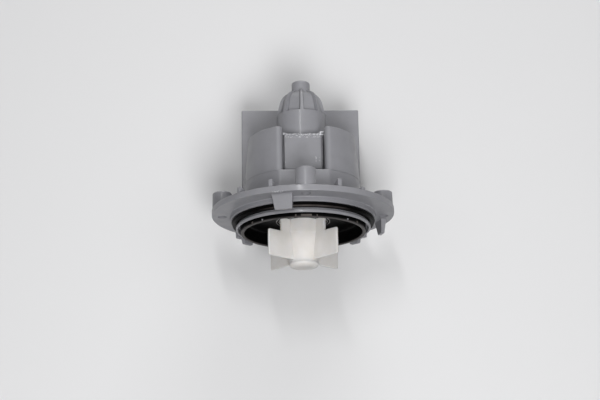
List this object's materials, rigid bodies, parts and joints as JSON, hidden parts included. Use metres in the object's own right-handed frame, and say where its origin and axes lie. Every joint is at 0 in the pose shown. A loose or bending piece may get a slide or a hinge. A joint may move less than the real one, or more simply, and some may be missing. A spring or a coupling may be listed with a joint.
{
  "type": "washer drain pump",
  "caption": "Drain pump: vaned impeller in a sealed round flange, rotor can with ribbed dome between stator towers, coil block with plug shroud.",
  "frame": {"origin": "centre of the flange's front face, on the rotor's axis", "axes": "+Y along the rotor's axis from the impeller to the dome, +Z towards the top screw boss, +X to the right seen from the impeller"},
  "size_m": [0.0834, 0.0897, 0.0927],
  "materials": {
    "grey_plastic": "fine satin moulding",
    "black_rubber": "matt",
    "black_plastic": "semi-gloss",
    "white_plastic": "satin, slightly translucent",
    "carbon_bearing": "ground",
    "steel": "ground",
    "ferrite": "ground sinter",
    "electrical_steel": "stamped edges",
    "copper_wire": "enamelled",
    "tinned_brass": "bright tinned"
  },
  "bodies": {
    "root": {"pump_flange": "grey_plastic", "collar_seal": "black_rubber", "cup_liner": "black_plastic", "shaft_seal": "black_rubber", "rotor_can": "grey_plastic", "can_o_ring": "black_rubber", "front_bearing": "carbon_bearing", "rear_bearing": "carbon_bearing", "front_bearing_holder": "black_rubber", "rear_bearing_holder": "black_rubber", "front_thrust_washer": "steel", "rear_thrust_washer": "steel", "stator_moulding": "grey_plastic", "core_laminations": "electrical_steel", "core_rivets": "steel", "bobbin_left": "white_plastic", "bobbin_right": "white_plastic", "winding_left": "copper_wire", "winding_right": "copper_wire", "terminal_left": "tinned_brass", "terminal_right": "tinned_brass", "coil_link_wire": "copper_wire", "terminal_leads": "copper_wire", "thermal_fuse": "white_plastic"},
    "rotor": {"rotor_shaft": "steel", "rotor_magnet": "ferrite", "magnet_core": "white_plastic", "shaft_dog": "white_plastic"},
    "impeller": {"impeller": "white_plastic", "dog_bumpers": "black_rubber", "impeller_cap": "white_plastic"}
  },
  "joints": [
    {"name": "rotor_spin", "type": "hinge", "parent": "root", "child": "rotor", "pos_m": [0, 0.02, 0], "axis": [0, 1, 0], "continuous": true},
    {"name": "impeller_play", "type": "hinge", "parent": "rotor", "child": "impeller", "pos_m": [0, -0.015, 0], "axis": [0, 1, 0], "range_deg": [-118, 118]}
  ]
}
